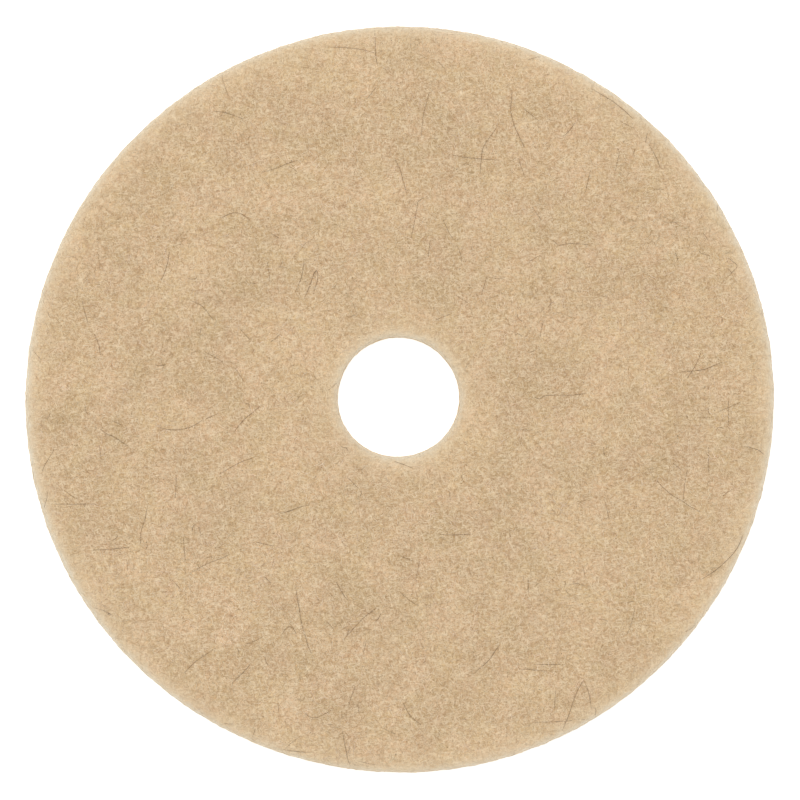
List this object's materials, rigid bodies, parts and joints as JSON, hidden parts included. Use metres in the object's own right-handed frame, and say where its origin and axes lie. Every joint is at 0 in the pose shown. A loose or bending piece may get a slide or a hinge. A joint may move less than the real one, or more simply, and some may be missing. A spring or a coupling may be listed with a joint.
{
  "type": "floor polishing pad",
  "caption": "Round non-woven fibre pad with a centre hole, driven flat under a floor machine to polish hard floors.",
  "frame": {"origin": "middle of the disc's outline, on the face that lies on the floor", "axes": "+Z is the pad's own axis, up through the face that the machine drives; +X is to the right and +Y to the top of the picture"},
  "size_m": [0.5089, 0.5073, 0.0254],
  "materials": {
    "fibre_web": "matt lofty non-woven web of cream and tan fibre with stray dark hairs, paler at its cut edges"
  },
  "bodies": {
    "root": {"polishing_pad": "fibre_web"}
  },
  "joints": []
}
